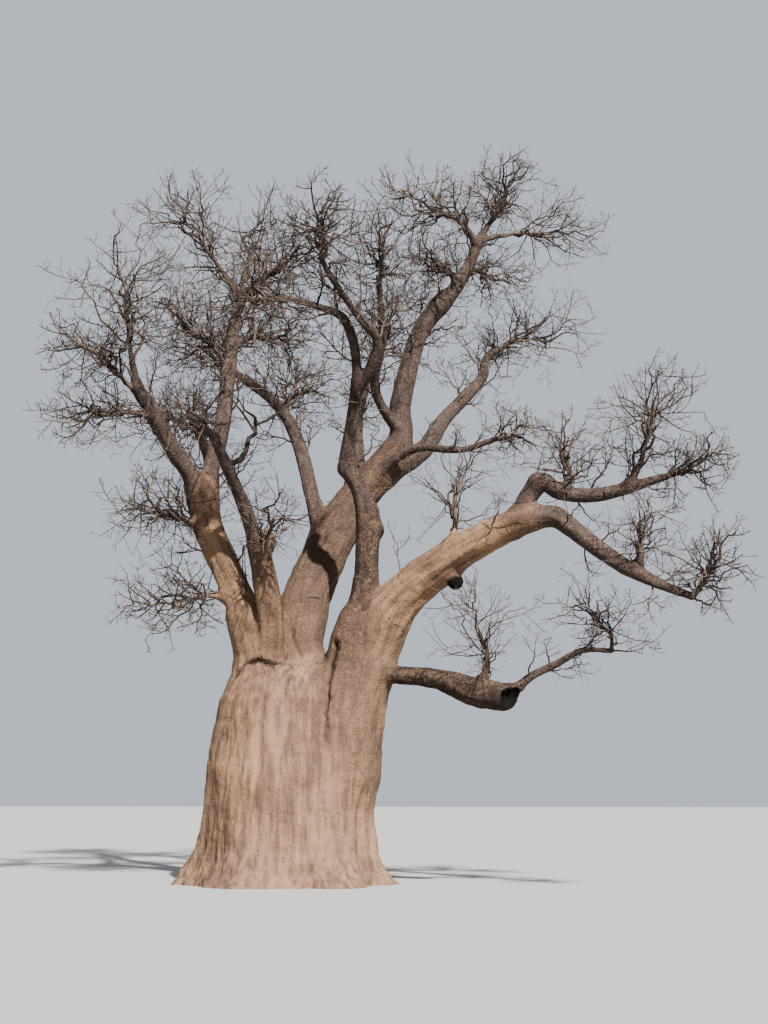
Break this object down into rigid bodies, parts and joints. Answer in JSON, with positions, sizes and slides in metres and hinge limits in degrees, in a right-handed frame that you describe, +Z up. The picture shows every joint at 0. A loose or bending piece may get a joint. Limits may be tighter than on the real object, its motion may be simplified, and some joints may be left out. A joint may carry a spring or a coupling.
{
  "type": "baobab tree",
  "caption": "Whole bare baobab: a swollen forked trunk cut flat at the ground, tapering stems and boughs, long low arms on one side, and masses of leafless twigs.",
  "frame": {"origin": "middle of the flat cut under the trunk, at ground level", "axes": "+Z up the tree; +X towards the side of the great arm; +Y from the front, which the picture shows, to the back"},
  "size_m": [18.3619, 16.2015, 21.3471],
  "materials": {
    "trunk_bark": "smooth folded grey-brown bark with a pinkish cast, matt",
    "bough_bark": "wrinkled grey-brown bark with pale flaked patches, matt",
    "twigs": "dull dark grey-brown twig bark"
  },
  "bodies": {
    "root": {"trunk": "trunk_bark", "left_stem": "trunk_bark", "middle_stem": "trunk_bark", "centre_stem": "trunk_bark", "right_stem": "trunk_bark", "great_arm": "trunk_bark", "low_arm": "trunk_bark", "back_left_bough": "trunk_bark", "left_outer_bough": "bough_bark", "left_tall_bough": "bough_bark", "middle_bough": "bough_bark", "leader": "bough_bark", "arching_bough": "bough_bark", "back_bough": "bough_bark", "right_bough": "bough_bark", "thin_bough": "bough_bark", "right_tall_bough": "bough_bark", "front_left_bough": "bough_bark", "front_right_bough": "bough_bark", "leader_side_bough": "bough_bark", "leader_top": "bough_bark", "upper_arm": "bough_bark", "lower_arm": "bough_bark", "low_arm_end": "bough_bark", "left_low_twigs": "twigs", "left_far_twigs": "twigs", "left_upper_twigs": "twigs", "left_inner_twigs": "twigs", "crown_left_twigs": "twigs", "crown_back_twigs": "twigs", "crown_middle_twigs": "twigs", "tall_bough_twigs": "twigs", "front_top_twigs": "twigs", "front_left_twigs": "twigs", "side_bough_twigs": "twigs", "back_top_twigs": "twigs", "leader_left_twigs": "twigs", "leader_top_twigs": "twigs", "leader_right_twigs": "twigs", "leader_under_twigs": "twigs", "leader_inner_twigs": "twigs", "right_bough_twigs": "twigs", "thin_bough_twigs": "twigs", "arm_first_twigs": "twigs", "arm_second_twigs": "twigs", "arm_upper_twigs": "twigs", "arm_end_twigs": "twigs", "lower_arm_twigs": "twigs", "lower_arm_end_twigs": "twigs", "low_arm_twigs": "twigs", "low_arm_end_twigs": "twigs", "left_side_twigs": "twigs", "left_stem_twigs": "twigs", "back_left_twigs": "twigs", "middle_bough_twigs": "twigs", "middle_stem_twigs": "twigs", "arch_end_twigs": "twigs", "arch_middle_twigs": "twigs"}
  },
  "joints": []
}
